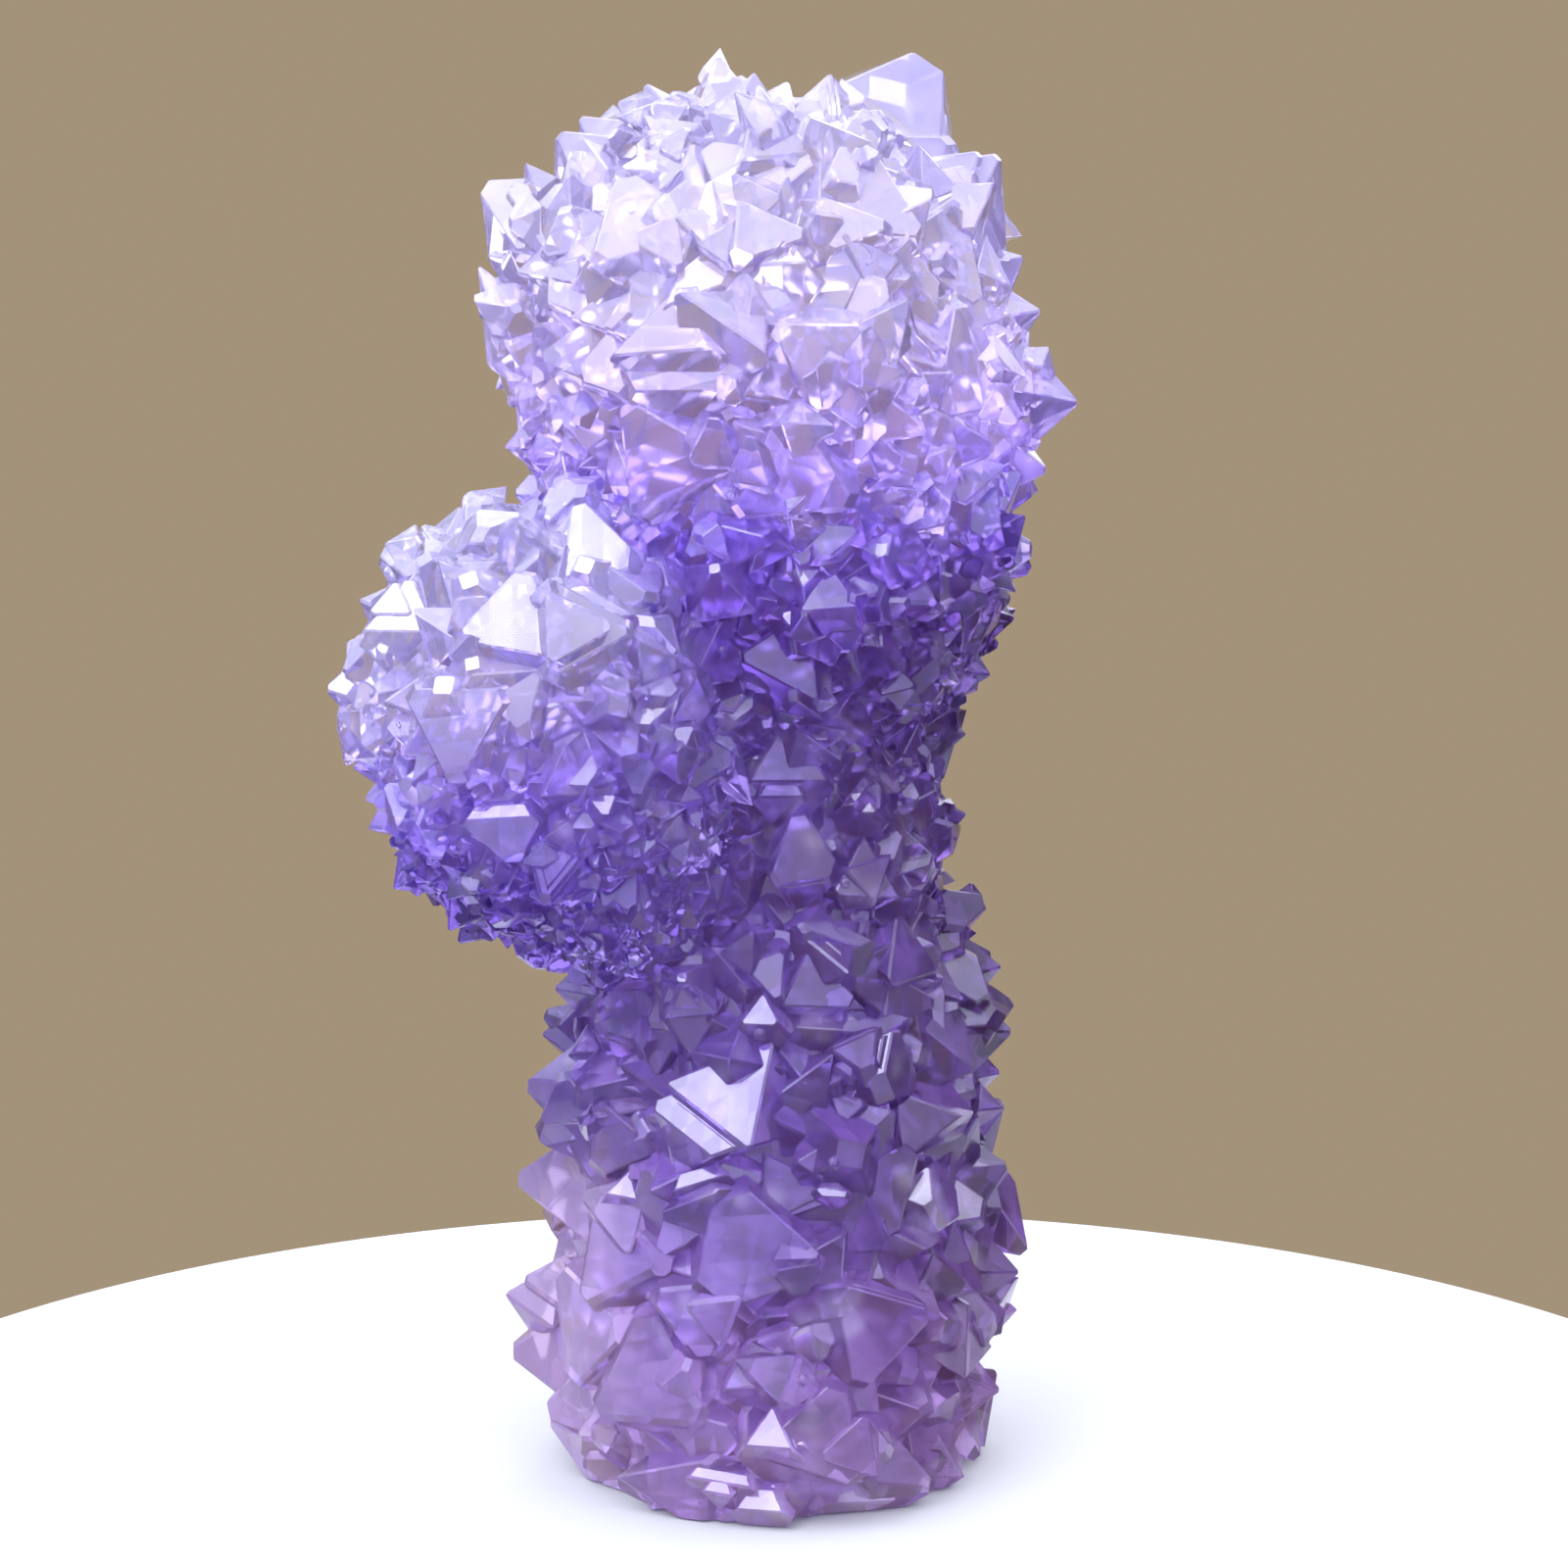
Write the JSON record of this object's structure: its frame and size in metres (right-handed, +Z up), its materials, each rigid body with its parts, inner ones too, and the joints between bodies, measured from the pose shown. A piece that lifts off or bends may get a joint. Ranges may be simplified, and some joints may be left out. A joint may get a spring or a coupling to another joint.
{
  "type": "alum crystal cluster",
  "caption": "Free-standing cluster of violet octahedral alum crystals: a column with a club-shaped head and a side lobe, on a flat base.",
  "frame": {"origin": "in the flat base that the cluster stands on, near its centre under the column", "axes": "+Z up, -Y the front with the side lobe to its left, +X to the right of the front"},
  "size_m": [0.1132, 0.0971, 0.2222],
  "materials": {
    "crystal": "clear to milky violet alum crystal, paler on the heads, with sharp glossy faces"
  },
  "bodies": {
    "root": {"crystal_cluster": "crystal"}
  },
  "joints": []
}
